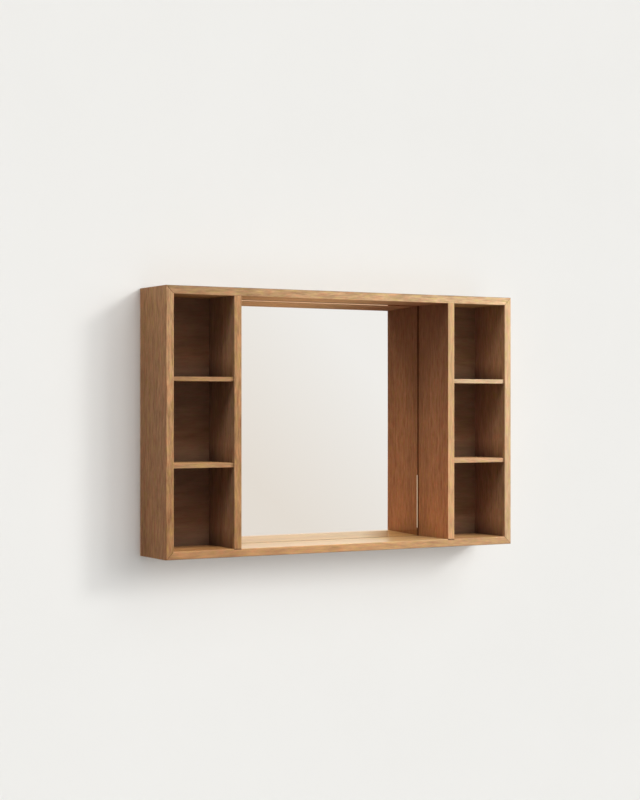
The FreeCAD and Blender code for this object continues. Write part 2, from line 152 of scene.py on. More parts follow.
def toned(tree, colour, tone, share=1.0):
    return mixColours(tree, share, colour, tone, "MULTIPLY")


def ramp(tree, factor, stops, colours):
    node = addNode(tree, "ShaderNodeValToRGB", {"Fac": factor})
    elements = node.color_ramp.elements
    elements[0].position = stops[0]
    elements[1].position = stops[-1]
    for stop in stops[1:-1]:
        elements.new(stop)
    for element, colour in zip(elements, colours):
        element.color = (*colour, 1.0)
    return node.outputs["Color"]


def separate(tree, vector):
    return addNode(tree, "ShaderNodeSeparateXYZ", {"Vector": vector}).outputs


def locate(tree):
    coords = addNode(tree, "ShaderNodeTexCoord").outputs
    return coords["Object"], separate(tree, coords["Object"]), separate(tree, coords["Normal"])


def stretch(tree, vector, scale=(1.0, 1.0, 1.0), shift=(0.0, 0.0, 0.0), turn=(0.0, 0.0, 0.0)):
    angles = [math.radians(angle) for angle in turn]
    inputs = {"Vector": vector, "Scale": scale, "Location": shift, "Rotation": angles}
    return addNode(tree, "ShaderNodeMapping", inputs).outputs["Vector"]


def noise(tree, vector, scale, detail=2.0, roughness=0.5):
    inputs = {"Vector": vector, "Scale": scale, "Detail": detail, "Roughness": roughness}
    return addNode(tree, "ShaderNodeTexNoise", inputs).outputs["Fac"]


def grain(tree, vector, cut):
    scale, detail, roughness = cut
    return noise(tree, stretch(tree, vector, scale), 1.0, detail, roughness)


def roughen(tree, shader, height, strength, distance):
    bump = addNode(tree, "ShaderNodeBump", {"Height": height, "Strength": strength, "Distance": distance})
    tree.links.new(bump.outputs["Normal"], shader.inputs["Normal"])


# boards: each one is cut from its own place in the log, with the grain along its length
oiledWood = {
    "pale": (0.445, 0.247, 0.110),
    "honey": (0.365, 0.193, 0.082),
    "brown": (0.260, 0.127, 0.051),
    "blond": (0.560, 0.400, 0.235),
    "pore": (0.110, 0.052, 0.022),
    "jointAndShade": (0.075, 0.038, 0.018),
    # noises: scale along and across the grain, detail, roughness
    "figure": ((0.9, 10.0, 10.0), 2.0, 0.45),
    "patches": ((1.6, 24.0, 24.0), 3.0, 0.6),
    "streaks": ((24.0, 180.0, 180.0), 4.0, 0.75),
    "blotches": ((45.0, 150.0, 150.0), 2.0, 0.5),
    "fibres": ((11.0, 800.0, 800.0), 3.0, 0.6),
    "pores": ((30.0, 700.0, 700.0), 1.0, 0.5),
    "rings": 110.0,
    "ringStops": (0.0, 0.30, 1.0),
    "ringShare": (0.40, 0.18),  # in front and elsewhere
    "patchStops": (0.28, 0.50, 0.72),
    "streakStops": (0.30, 0.70),
    "streakTones": ((0.50, 0.45, 0.41), (1.36, 1.40, 1.43)),
    "hueStops": (0.34, 0.50, 0.66),
    "hues": ((1.08, 0.93, 0.88), (1.00, 1.00, 1.00), (1.00, 1.055, 0.82)),
    "poreStops": (0.62, 0.70),
    "poreShare": 0.40,
    # painted shade tones of the eased edges, the outer right face, the ceiling and the corners
    "ease": (0.74, 0.76, 0.80),
    "outerRightShade": (0.70, 0.69, 0.69),
    "vaultShade": (0.99, 0.76, 0.77),
    "shade": (0.0, 0.0, 0.0),
    "fibreStops": (0.25, 0.75),
    "frontGloss": 0.5,
    "coatRoughness": 0.24,
    "relief": (0.25, 0.0003),  # strength and depth
}

upright = (0.0, 90.0, 0.0)
level = (0.0, 0.0, 0.0)
natural = (1.00, 1.00, 1.00)
# blond: the pale share at the left or lower end and at the other one
# streaks: their share in front and elsewhere
# sheen: roughness from and to; gloss: how strongly the faces behind the front shine
# flank: painted light and shade on the faces turned left, as tones low down, high up and deep in the bays
# crown: painted light on the sill before the mirror
satin = {
    "sheen": (0.42, 0.56), "gloss": 0.1, "coat": 0.0, "tint": natural, "sillLight": natural,
    "flankLightAndShade": {"low": natural, "high": natural, "deep": natural},
}
shelf = {**satin, "turn": level, "gloss": 0.2}
boards = {
    "top_panel": {
        **satin, "turn": level, "cutFrom": (0.30, 0.115, -0.02), "lean": 1.4, "gloss": 0.0,
        "blond": (0.20, 0.50), "streaks": (0.85, 0.45), "tint": (0.97, 1.00, 1.03),
    },
    "bottom_panel": {
        **satin, "turn": level, "cutFrom": (1.10, 0.130, 0.62), "lean": -1.1,
        "sheen": (0.26, 0.36), "gloss": 1.0, "coat": 0.6,
        "blond": (0.02, 0.36), "streaks": (0.60, 0.40),
        "tint": (1.02, 0.97, 0.87), "sillLight": (1.09, 1.29, 1.39),
    },
    "left_side_panel": {
        **satin, "turn": upright, "cutFrom": (0.20, 0.105, -0.43), "lean": 1.2,
        "blond": (0.03, 0.47), "streaks": (0.95, 0.85), "tint": (1.00, 0.97, 0.95),
        "flankLightAndShade": {"low": (0.885, 0.795, 0.80), "high": (0.89, 0.76, 0.67), "deep": natural},
    },
    "right_side_panel": {
        **satin, "turn": upright, "cutFrom": (1.70, 0.125, 0.52), "lean": -1.5,
        "blond": (0.46, 0.48), "streaks": (0.55, 0.55), "tint": (0.95, 1.00, 1.06),
        "flankLightAndShade": {"low": (1.21, 1.14, 1.24), "high": (1.21, 1.14, 1.24), "deep": (0.555, 0.505, 0.78)},
    },
    "left_divider": {
        **satin, "turn": upright, "cutFrom": (2.60, 0.140, -0.27), "lean": 0.9,
        "blond": (0.00, 0.16), "streaks": (0.95, 0.55),
        "flankLightAndShade": {"low": (1.15, 1.36, 1.95), "high": (1.15, 1.36, 1.95), "deep": (0.55, 0.61, 0.88)},
    },
    "right_divider": {
        **satin, "turn": upright, "cutFrom": (3.40, 0.110, 0.36), "lean": 1.6,
        "blond": (0.34, 0.38), "streaks": (0.50, 0.58), "tint": (0.95, 1.00, 1.00),
        "flankLightAndShade": {"low": (0.95, 0.81, 0.85), "high": (0.65, 0.515, 0.54), "deep": natural},
    },
    "left_upper_shelf": {
        **shelf, "cutFrom": (4.30, 0.120, 0.17), "lean": 1.0,
        "blond": (0.10, 0.14), "streaks": (0.60, 0.40), "tint": (0.89, 0.90, 0.94),
    },
    "left_lower_shelf": {
        **shelf, "cutFrom": (5.20, 0.135, 0.38), "lean": -1.3,
        "blond": (0.24, 0.30), "streaks": (0.60, 0.40),
    },
    "right_upper_shelf": {
        **shelf, "cutFrom": (6.10, 0.112, 0.16), "lean": 1.5,
        "blond": (0.52, 0.60), "streaks": (0.50, 0.40), "tint": (0.95, 1.02, 1.12),
    },
    "right_lower_shelf": {
        **shelf, "cutFrom": (7.40, 0.128, 0.37), "lean": -0.8,
        "blond": (0.28, 0.34), "streaks": (0.50, 0.40), "tint": (0.99, 1.01, 1.10),
    },
}
ends = {level: ("X", -0.5, 0.5), upright: ("Z", -0.57, 0.08)}
bayHalf = 0.3003  # half the width of the mirror bay
reach = {"up": (-0.25, 0.06), "deep": (-0.15, -0.012), "inside": 0.495}  # where the painted light and shade on the flanks lie
nook = {  # the shaded corners above the floors of the side bays
    "floor": -0.55,
    "pitch": 0.2075,
    "front": -0.14,
    "across": (0.3195, 0.4805),
    "height": 0.22,  # share of the pitch
    "shade": 0.58,
}
vaultShade = {"level": 0.0, "across": (0.08, 0.25)}  # painted shade: the ceiling over the mirror grows darker and redder from left to right
gapShade = (-0.0106, -0.0046)  # painted shade in the gap beside the glass, from front to rear
footShade = (0.2998, 0.3202)  # painted shade in the gap under the feet of the dividers
mitred = 0.1  # the fine chamfers along the mitres slant both ways by more than this; they take the dark joint colour, with painted shade in the groove


def grainColour(tree, log, place, facing, board, wood):
    leaning = stretch(tree, log, turn=(0.0, board["lean"], board["lean"]))
    shades = (wood["brown"], wood["honey"], wood["pale"])
    rings = wave(tree, grain(tree, leaning, wood["figure"]), wood["rings"])
    ringColour = ramp(tree, rings, wood["ringStops"], shades)
    patchColour = ramp(tree, grain(tree, log, wood["patches"]), wood["patchStops"], shades)
    ringShare = spread(tree, facing["Y"], *frontToRest, *wood["ringShare"])
    colour = mixColours(tree, ringShare, patchColour, ringColour)
    axis, low, high = ends[board["turn"]]
    blondShare = spread(tree, place[axis], low, high, *board["blond"])
    colour = mixColours(tree, blondShare, colour, wood["blond"])
    streaks = grain(tree, leaning, wood["streaks"])
    streakTone = ramp(tree, streaks, wood["streakStops"], wood["streakTones"])
    streakShare = spread(tree, facing["Y"], *frontToRest, *board["streaks"])
    colour = toned(tree, colour, streakTone, streakShare)
    blotches = grain(tree, log, wood["blotches"])
    return toned(tree, colour, ramp(tree, blotches, wood["hueStops"], wood["hues"]))


def faceTones(tree, colour, place, facing, board, wood):
    offCentre = magnitude(tree, place["X"])
    inBay = under(tree, offCentre, bayHalf)
    offWall = under(tree, facing["Y"], squareOn)
    colour = toned(tree, colour, board["tint"], offWall)
    # painted light and shade on the faces turned left, by height and by depth in the bays
    flankLightAndShade = board["flankLightAndShade"]
    raised = spread(tree, place["Z"], *reach["up"])
    sunk = spread(tree, place["Y"], *reach["deep"])
    flankLightAndShadeTone = mixColours(tree, raised, flankLightAndShade["low"], flankLightAndShade["high"])
    inside = under(tree, offCentre, reach["inside"])
    flankLightAndShadeTone = toned(tree, flankLightAndShadeTone, flankLightAndShade["deep"], allOf(tree, sunk, inside))
    colour = toned(tree, colour, flankLightAndShadeTone, under(tree, facing["X"], -squareOn))
    # painted shade: the outer right face is darkened
    onOuter = allOf(tree, over(tree, facing["X"], squareOn), over(tree, place["X"], reach["inside"]))
    colour = toned(tree, colour, wood["outerRightShade"], onOuter)
    # painted light: the sill in the mirror bay is brightened
    onSillLight = allOf(tree, over(tree, facing["Z"], squareOn), inBay)
    colour = toned(tree, colour, board["sillLight"], onSillLight)
    # painted shade: the corners above the floors of the side bays darken towards black
    climb = mathNode(tree, "SUBTRACT", place["Z"], nook["floor"])
    aboveShelf = mathNode(tree, "FRACT", mathNode(tree, "DIVIDE", climb, nook["pitch"]))
    inNook = allOf(
        tree,
        over(tree, place["Y"], nook["front"]),
        under(tree, magnitude(tree, facing["Z"]), squareOn),
        between(tree, offCentre, *nook["across"]),
        offWall,
        spread(tree, aboveShelf, 0.0, nook["height"], nook["shade"], 0.0),
    )
    colour = mixColours(tree, inNook, colour, wood["shade"])
    # painted shade on the ceiling over the mirror, deeper towards the right
    onVaultShade = allOf(
        tree,
        under(tree, facing["Z"], -squareOn),
        inBay,
        over(tree, place["Z"], vaultShade["level"]),
        spread(tree, place["X"], *vaultShade["across"]),
    )
    return toned(tree, colour, wood["vaultShade"], onVaultShade)


# dark joint lines along the mitres, and painted shade beside the glass and under the dividers' feet
def jointAndShadeMask(tree, place, facing, onEase):
    offCentre = magnitude(tree, place["X"])
    slanting = magnitude(tree, allOf(tree, facing["X"], facing["Z"]))
    inGap = allOf(
        tree,
        between(tree, place["Y"], *gapShade),
        over(tree, magnitude(tree, facing["X"]), squareOn),
        under(tree, offCentre, bayHalf),
    )
    # painted shade under the dividers' feet
    underFoot = allOf(tree, between(tree, offCentre, *footShade), onEase)
    jointAndShade = mathNode(tree, "MAXIMUM", over(tree, slanting, mitred), inGap)
    return mathNode(tree, "MAXIMUM", jointAndShade, underFoot)


def woodMaterial(name, board, wood):
    material, tree, shader = startMaterial(name)
    spot, place, facing = locate(tree)
    log = stretch(tree, spot, shift=board["cutFrom"], turn=board["turn"])
    colour = grainColour(tree, log, place, facing, board, wood)
    colour = faceTones(tree, colour, place, facing, board, wood)
    onEase = allOf(tree, over(tree, facing["Z"], eased), under(tree, facing["Y"], -eased))
    # painted shade: the rounded upper front edges are darkened
    colour = toned(tree, colour, wood["ease"], onEase)
    pores = grain(tree, log, wood["pores"])
    poreMask = spread(tree, pores, *wood["poreStops"], 0.0, wood["poreShare"])
    colour = mixColours(tree, poreMask, colour, wood["pore"])
    jointAndShade = jointAndShadeMask(tree, place, facing, onEase)
    fibres = grain(tree, log, wood["fibres"])
    gloss = spread(tree, facing["Y"], *frontToRest, wood["frontGloss"], board["gloss"])
    feed(tree, shader, {
        "Base Color": mixColours(tree, jointAndShade, colour, wood["jointAndShade"]),
        "Roughness": spread(tree, fibres, *wood["fibreStops"], *board["sheen"]),
        "Specular IOR Level": allOf(tree, gloss, rest(tree, jointAndShade)),
        "Coat Weight": board["coat"],
        "Coat Roughness": wood["coatRoughness"],
    })
    roughen(tree, shader, mathNode(tree, "SUBTRACT", fibres, poreMask), *wood["relief"])
    return material


def dress(name, material):
    mesh = nodes[name].data
    mesh.materials.clear()
    mesh.materials.append(material)


for name, board in boards.items():
    dress(name, woodMaterial("oiled_wood_" + name, board, oiledWood))
print("boards finished")


# veneered back panels, darker, with the figure lying across the bay
veneer = {
    **oiledWood,
    "pale": (0.430, 0.264, 0.162),
    "honey": (0.338, 0.201, 0.120),
    "brown": (0.236, 0.131, 0.077),
    "blond": (0.450, 0.300, 0.190),
    "pore": (0.090, 0.045, 0.024),
    "hues": ((1.06, 0.94, 0.92), (1.00, 1.00, 1.00), (0.98, 1.04, 0.90)),
    "figure": ((1.4, 7.0, 7.0), 2.0, 0.45),
    "rings": 60.0,
    "ringShare": (0.30, 0.30),
    "poreShare": 0.25,
}
matt = {
    **satin, "turn": level, "sheen": (0.60, 0.72), "streaks": (0.28, 0.28), "tint": (0.92, 0.96, 1.08),
}
backPanels = {
    "left_back_panel": {**matt, "cutFrom": (9.2, 0.02, 0.42), "lean": 2.4, "blond": (0.00, 0.10)},
    "right_back_panel": {**matt, "cutFrom": (10.6, 0.03, 0.35), "lean": -2.0, "blond": (0.05, 0.20)},
}
for name, board in backPanels.items():
    dress(name, woodMaterial("veneer_" + name, board, veneer))
print("back panels finished")


# mirror: silvered face with a faint bow, ground green sides, rims with tilted normals, painted glints along
# the top and lower right rims, and painted shade on the reflection at the foot
mirror = {
    "silver": (0.965, 0.965, 0.960),
    "edges": ((0.16, 0.34, 0.27), (0.30, 0.50, 0.42)),
    "edgeStops": (0.35, 0.65),
    "grinding": ((90.0, 900.0, 90.0), 2.0, 0.5),
    "hazeScale": 7.0,
    "hazeDetail": 4.0,
    # roughness: noise from and to, value from and to
    "faceRoughness": (0.35, 0.75, 0.004, 0.018),
    "edgeRoughness": (0.3, 0.7, 0.12, 0.25),
    "middle": -0.245,
    "bowAcross": 8.6,  # radii in metres
    "bowUp": 11.2,
    "topRim": 0.0577,
    # painted glint: the silver turns tan along the top rim
    "topGlint": (1.00, 0.69, 0.47),
    "topTilt": -0.10,
    "foot": (-0.5342, -0.5322),  # painted shade: the reflection below this turns darker and yellower
    "footReflectionShade": (0.82, 0.77, 0.68),
    "footReflectionDark": (0.50, 0.37, 0.24),
    "footFade": (0.12, 0.2036),  # and the painted shade darkens from left to right as far as the reflected divider
    "sideRim": 0.29475,
    "sideSpan": (-0.5285, -0.389),  # the painted glint on the right rim, from and up to
    "sideGlint": (1.00, 0.78, 0.58),
    "sideTilt": -0.33,
}


def mirrorMaterial(glass):
    material, tree, shader = startMaterial("silvered_mirror")
    spot, place, facing = locate(tree)
    silvered = over(tree, magnitude(tree, facing["Y"]), squareOn)
    onTop = over(tree, place["Z"], glass["topRim"])
    alongSide = between(tree, place["Z"], *glass["sideSpan"])
    onSide = allOf(tree, alongSide, over(tree, place["X"], glass["sideRim"]))
    onFoot = spread(tree, place["Z"], *glass["foot"], 1.0, 0.0)
    shortOfDivider = under(tree, place["X"], glass["footFade"][1])
    fade = allOf(tree, spread(tree, place["X"], *glass["footFade"]), shortOfDivider)
    # painted glints along the rims and painted shade at the foot, mixed into the silver
    face = mixColours(tree, onTop, glass["silver"], glass["topGlint"])
    face = mixColours(tree, onFoot, face, mixColours(tree, fade, glass["footReflectionShade"], glass["footReflectionDark"]))
    face = mixColours(tree, onSide, face, glass["sideGlint"])
    grinding = grain(tree, spot, glass["grinding"])
    edge = ramp(tree, grinding, glass["edgeStops"], glass["edges"])
    haze = noise(tree, spot, glass["hazeScale"], glass["hazeDetail"])
    polished = allOf(tree, spread(tree, haze, *glass["faceRoughness"]), silvered)
    ground = allOf(tree, spread(tree, grinding, *glass["edgeRoughness"]), rest(tree, silvered))
    across = mathNode(tree, "DIVIDE", place["X"], glass["bowAcross"])
    up = mathNode(tree, "DIVIDE", mathNode(tree, "SUBTRACT", place["Z"], glass["middle"]), glass["bowUp"])
    sideTilt = mathNode(tree, "MULTIPLY", onSide, glass["sideTilt"])
    topTilt = mathNode(tree, "MULTIPLY", onTop, glass["topTilt"])
    downward = mathNode(tree, "MAXIMUM", mathNode(tree, "MULTIPLY", facing["Z"], -1.0), 0.0)
    rimTilt = mathNode(tree, "ADD", topTilt, allOf(tree, downward, silvered))
    bend = addNode(tree, "ShaderNodeCombineXYZ", {
        "X": mathNode(tree, "ADD", across, sideTilt),
        "Z": mathNode(tree, "ADD", up, rimTilt),
    }).outputs["Vector"]
    flat = addNode(tree, "ShaderNodeNewGeometry").outputs["Normal"]
    bent = addNode(tree, "ShaderNodeVectorMath", {0: flat, 1: bend}, operation="ADD").outputs["Vector"]
    feed(tree, shader, {
        "Base Color": mixColours(tree, silvered, edge, face),
        "Metallic": silvered,
        "Roughness": mathNode(tree, "ADD", polished, ground),
        "Normal": addNode(tree, "ShaderNodeVectorMath", {0: bent}, operation="NORMALIZE").outputs["Vector"],
    })
    return material


dress("mirror_glass", mirrorMaterial(mirror))
print("mirror finished")


# hidden carriers: plywood behind the mirror, foam tape, beech dowels and splines
plywood = {
    "pale": (0.62, 0.44, 0.27),
    "tan": (0.47, 0.31, 0.17),
    "dark": (0.30, 0.19, 0.10),
    "plies": 2050.0,  # radians per metre through the thickness
    "plyStops": (0.42, 0.58),
    "figure": ((55.0, 55.0, 1.6), 4.0, 0.6),
    "figureStops": (0.30, 0.66),
    "fibres": ((800.0, 800.0, 14.0), 2.0, 0.6),
    "fibreStops": (0.30, 0.70),
    "fibreTones": ((0.84, 0.82, 0.80), (1.08, 1.08, 1.08)),
    "fibreShare": 0.8,
    "roughness": (0.3, 0.7, 0.62, 0.78),  # noise from and to, value from and to
    "relief": (0.3, 0.0004),  # strength and depth
}


def plywoodMaterial(ply):
    material, tree, shader = startMaterial("raw_plywood")
    spot, place, facing = locate(tree)
    figure = grain(tree, spot, ply["figure"])
    fibres = grain(tree, spot, ply["fibres"])
    face = ramp(tree, figure, ply["figureStops"], (ply["tan"], ply["pale"]))
    edge = ramp(tree, wave(tree, place["Y"], ply["plies"]), ply["plyStops"], (ply["dark"], ply["pale"]))
    colour = mixColours(tree, over(tree, magnitude(tree, facing["Y"]), squareOn), edge, face)
    tone = ramp(tree, fibres, ply["fibreStops"], ply["fibreTones"])
    feed(tree, shader, {
        "Base Color": toned(tree, colour, tone, ply["fibreShare"]),
        "Roughness": spread(tree, fibres, *ply["roughness"]),
    })
    roughen(tree, shader, fibres, *ply["relief"])
    return material


foam = {
    "shades": ((0.62, 0.62, 0.58), (0.80, 0.80, 0.76)),
    "stops": (0.10, 0.70),
    "cells": 1800.0,
    "roughness": (0.0, 1.0, 0.75, 0.92),
    "relief": (0.3, 0.0002),
}


def foamMaterial(tape):
    material, tree, shader = startMaterial("foam_tape")
    spot = addNode(tree, "ShaderNodeTexCoord").outputs["Object"]
    voronoi = addNode(tree, "ShaderNodeTexVoronoi", {"Vector": spot, "Scale": tape["cells"]})
    cells = voronoi.outputs["Distance"]
    feed(tree, shader, {
        "Base Color": ramp(tree, cells, tape["stops"], tape["shades"]),
        "Roughness": spread(tree, cells, *tape["roughness"]),
    })
    roughen(tree, shader, cells, *tape["relief"])
    return material


beech = {
    "shades": ((0.48, 0.29, 0.15), (0.60, 0.40, 0.22)),
    "stops": (0.32, 0.68),
    "fleck": (0.30, 0.16, 0.08),
    "streaks": (0.08, 3.0, 0.55),
    "flecks": (0.8, 1.0),
    "fleckMask": (0.66, 0.76, 0.0, 0.6),
    "roughness": (0.3, 0.7, 0.55, 0.70),
    "relief": (0.2, 0.0002),
    "alongX": (60.0, 1600.0, 1600.0),
    "alongY": (1600.0, 60.0, 1600.0),
    "alongZ": (1600.0, 1600.0, 60.0),
}


def beechMaterial(name, wood, along):
    material, tree, shader = startMaterial(name)
    spot = addNode(tree, "ShaderNodeTexCoord").outputs["Object"]
    drawn = stretch(tree, spot, wood[along])
    streaks = noise(tree, drawn, *wood["streaks"])
    flecks = noise(tree, drawn, *wood["flecks"])
    colour = ramp(tree, streaks, wood["stops"], wood["shades"])
    feed(tree, shader, {
        "Base Color": mixColours(tree, spread(tree, flecks, *wood["fleckMask"]), colour, wood["fleck"]),
        "Roughness": spread(tree, flecks, *wood["roughness"]),
    })
    roughen(tree, shader, flecks, *wood["relief"])
    return material


dress("mirror_backing_board", plywoodMaterial(plywood))
dress("mirror_tape_strips", foamMaterial(foam))
dress("divider_dowels", beechMaterial("beech_dowels_upright", beech, "alongZ"))
dress("shelf_dowels", beechMaterial("beech_dowels_level", beech, "alongX"))
dress("mitre_splines", beechMaterial("beech_splines", beech, "alongY"))
print("carriers finished")


# zinc plated steel for the hanger plates and all screws
zinc = {
    "shades": ((0.47, 0.48, 0.50), (0.66, 0.67, 0.69), (0.60, 0.57, 0.50)),
    "stops": (0.32, 0.52, 0.72),
    "patches": (160.0, 3.0, 0.6),
    "plateLines": ((2600.0, 2600.0, 90.0), 2.0, 0.6),
    "screwLines": ((900.0, 2600.0, 900.0), 2.0, 0.6),
    "roughness": (0.3, 0.7, 0.26, 0.44),
    "relief": (0.15, 0.0001),
}


def zincMaterial(name, steel, drawn):
    material, tree, shader = startMaterial(name)
    spot = addNode(tree, "ShaderNodeTexCoord").outputs["Object"]
    lines = grain(tree, spot, steel[drawn])
    feed(tree, shader, {
        "Base Color": ramp(tree, noise(tree, spot, *steel["patches"]), steel["stops"], steel["shades"]),
        "Metallic": 1.0,
        "Roughness": spread(tree, lines, *steel["roughness"]),
    })
    roughen(tree, shader, lines, *steel["relief"])
    return material


plateZinc = zincMaterial("zinc_plate", zinc, "plateLines")
screwZinc = zincMaterial("zinc_screw", zinc, "screwLines")
dress("left_keyhole_plate", plateZinc)
dress("right_keyhole_plate", plateZinc)
print("steel finished")


# countersunk wood screws with a cross recess, drawn tip down along z and laid in from behind
screw = {
    "headRadius": 0.00275,
    "headRim": 0.0002,
    "headHeight": 0.0014,
    "coreRadius": 0.00105,
    "length": 0.014,
    "tip": 0.0032,
    "around": 24,
    "weld": 1e-7,
    "threadRadius": 0.0015,
    "threadRoot": 0.000945,  # a little inside the core
    "threadHalf": 0.000364,
    "pitch": 0.0013,
    "recess": {"reach": 0.00135, "arm": 0.00036, "depth": 0.00105, "taper": 0.55},
    "lay": -90.0,
    "stagger": 37.0,  # degrees from one recess to the next
}
backingLevel = -0.0005
plateLevel = 0.0
screwSpots = {
    "backing_board_screws": [
        *[(x, backingLevel, z) for x in (-0.305, 0.305) for z in (0.0, -0.245, -0.490)],
        *[(x, backingLevel, z) for z in (0.065, -0.555) for x in (-0.240, 0.0, 0.240)],
    ],
    "keyhole_plate_screws": [(x, plateLevel, z) for x in (-0.490, 0.490) for z in (-0.015, 0.026)],
}


def edgesOf(geometry):
    return [part for part in geometry if isinstance(part, bmesh.types.BMEdge)]


def spinProfile(bm, profile, steps):
    points = [bm.verts.new(point) for point in profile]
    edges = [bm.edges.new(pair) for pair in zip(points, points[1:])]
    bmesh.ops.spin(
        bm,
        geom=points + edges,
        cent=(0.0, 0.0, 0.0),
        axis=(0.0, 0.0, 1.0),
        angle=2.0 * math.pi,
        steps=steps,
        use_merge=True,
        use_duplicate=False,
    )


def crossOutline(bm, recess):
    far, arm = recess["reach"], recess["arm"]
    quarter = [(far, -arm), (far, arm), (arm, arm)]
    corners = []
    for turn in range(4):
        angle = turn * math.pi / 2.0
        for x, y in quarter:
            corners.append(bm.verts.new((x * math.cos(angle) - y * math.sin(angle),
                                         x * math.sin(angle) + y * math.cos(angle), 0.0)))
    return [bm.edges.new(pair) for pair in zip(corners, corners[1:] + corners[:1])]


def drawScrew(shape):
    bm = bmesh.new()
    spinProfile(
        bm,
        [
            (shape["headRadius"], 0.0, 0.0),
            (shape["headRadius"], 0.0, -shape["headRim"]),
            (shape["coreRadius"], 0.0, -shape["headHeight"]),
            (shape["coreRadius"], 0.0, shape["tip"] - shape["length"]),
            (0.0, 0.0, -shape["length"]),
        ],
        shape["around"],
    )
    bmesh.ops.remove_doubles(bm, verts=bm.verts, dist=shape["weld"])
    rim = [edge for edge in bm.edges if edge.is_boundary]
    cross = crossOutline(bm, shape["recess"])
    bmesh.ops.triangle_fill(bm, edges=rim + cross, use_beauty=True)
    walls = bmesh.ops.extrude_edge_only(bm, edges=cross)["geom"]
    lower = [part for part in walls if isinstance(part, bmesh.types.BMVert)]
    taper = shape["recess"]["taper"]
    bmesh.ops.scale(bm, vec=(taper, taper, 1.0), verts=lower)
    bmesh.ops.translate(bm, vec=(0.0, 0.0, -shape["recess"]["depth"]), verts=lower)
    bmesh.ops.contextual_create(bm, geom=lower + edgesOf(walls))
    addThread(bm, shape)
    bmesh.ops.recalc_face_normals(bm, faces=bm.faces)
    return bm


def addThread(bm, shape):
    top = -shape["headHeight"] - shape["pitch"]
    root, half = shape["threadRoot"], shape["threadHalf"]
    profile = [(root, 0.0, top + half), (shape["threadRadius"], 0.0, top), (root, 0.0, top - half)]
    ridge = [bm.verts.new(point) for point in profile]
    edges = [bm.edges.new(pair) for pair in zip(ridge, ridge[1:] + ridge[:1])]
    turns = int((shape["length"] - shape["tip"] - shape["headHeight"]) / shape["pitch"]) - 1
    bmesh.ops.contextual_create(bm, geom=edges)
    end = bmesh.ops.spin(
        bm,
        geom=ridge + edges,
        cent=(0.0, 0.0, 0.0),
        axis=(0.0, 0.0, 1.0),
        dvec=(0.0, 0.0, -shape["pitch"] / shape["around"]),
        angle=2.0 * math.pi * turns,
        steps=turns * shape["around"],
        use_merge=False,
        use_duplicate=False,
    )["geom_last"]
    bmesh.ops.contextual_create(bm, geom=edgesOf(end))


def layScrews(name, spots, shape):
    pattern = drawScrew(shape)
    single = bpy.data.meshes.new("single_screw")
    pattern.to_mesh(single)
    pattern.free()
    bm = bmesh.new()
    laid = Matrix.Rotation(math.radians(shape["lay"]), 4, "X")
    for number, spot in enumerate(spots):
        before = set(bm.verts)
        bm.from_mesh(single)
        fresh = [vert for vert in bm.verts if vert not in before]
        driven = Matrix.Rotation(math.radians(shape["stagger"] * number), 4, "Z")
        bmesh.ops.transform(bm, matrix=Matrix.Translation(spot) @ laid @ driven, verts=fresh)
    mesh = bpy.data.meshes.new(name + "_driven")
    bm.to_mesh(mesh)
    bm.free()
    bpy.data.meshes.remove(single)
    mesh.materials.append(screwZinc)
    piece = bpy.data.objects.new(name + "_driven", mesh)
    scene.collection.objects.link(piece)
    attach(piece, "root")
    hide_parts(name)
    return piece


screwPieces = [layScrews(name, spots, screw) for name, spots in screwSpots.items()]
print("screws laid in")


# the wall behind and the floor below
room = {
    "shades": ((0.872, 0.863, 0.829), (0.880, 0.871, 0.838)),
    "stops": (0.35, 0.65),
    "mottle": (3.0, 3.0),  # scale and detail
    "grit": (900.0, 2.0),
    "roughness": 0.95,
    "relief": (0.05, 0.0002),
    "wallLevel": 0.0008,
    "floorLevel": -1.6,
    "halfSpan": 7.0,
    "nearBy": 0.015,  # what lies this close behind the cabinet lets light through from the back
}


def plasterMaterial(name, look):
    material, tree, shader = startMaterial(name)
    spot = addNode(tree, "ShaderNodeTexCoord").outputs["Object"]
    feed(tree, shader, {
        "Base Color": ramp(tree, noise(tree, spot, *look["mottle"]), look["stops"], look["shades"]),
        "Roughness": look["roughness"],
        "Specular IOR Level": 0.0,
    })
    roughen(tree, shader, noise(tree, spot, *look["grit"]), *look["relief"])
    behind = addNode(tree, "ShaderNodeNewGeometry").outputs["Backfacing"]
    length = addNode(tree, "ShaderNodeLightPath").outputs["Ray Length"]
    through = mathNode(tree, "MAXIMUM", behind, under(tree, length, look["nearBy"]))
    clear = addNode(tree, "ShaderNodeBsdfTransparent").outputs["BSDF"]
    mixed = addNode(tree, "ShaderNodeMixShader", {0: through, 1: shader.outputs["BSDF"], 2: clear})
    tree.links.new(mixed.outputs["Shader"], tree.nodes["Material Output"].inputs["Surface"])
    return material


def addSheet(name, look, matrix, material):
    bm = bmesh.new()
    bmesh.ops.create_grid(bm, x_segments=2, y_segments=2, size=look["halfSpan"], matrix=matrix)
    mesh = bpy.data.meshes.new(name)
    bm.to_mesh(mesh)
    bm.free()
    mesh.materials.append(material)
    sheet = bpy.data.objects.new(name, mesh)
    scene.collection.objects.link(sheet)
    return sheet


plaster = plasterMaterial("pale_plaster", room)
standing = Matrix.Rotation(math.radians(90.0), 4, "X")
wall = addSheet("wall", room, Matrix.Translation((0.0, room["wallLevel"], 0.0)) @ standing, plaster)
floor = addSheet("floor", room, Matrix.Translation((0.0, 0.0, room["floorLevel"])), plaster)
floor.visible_diffuse = False
floor.visible_shadow = False
print("room built")


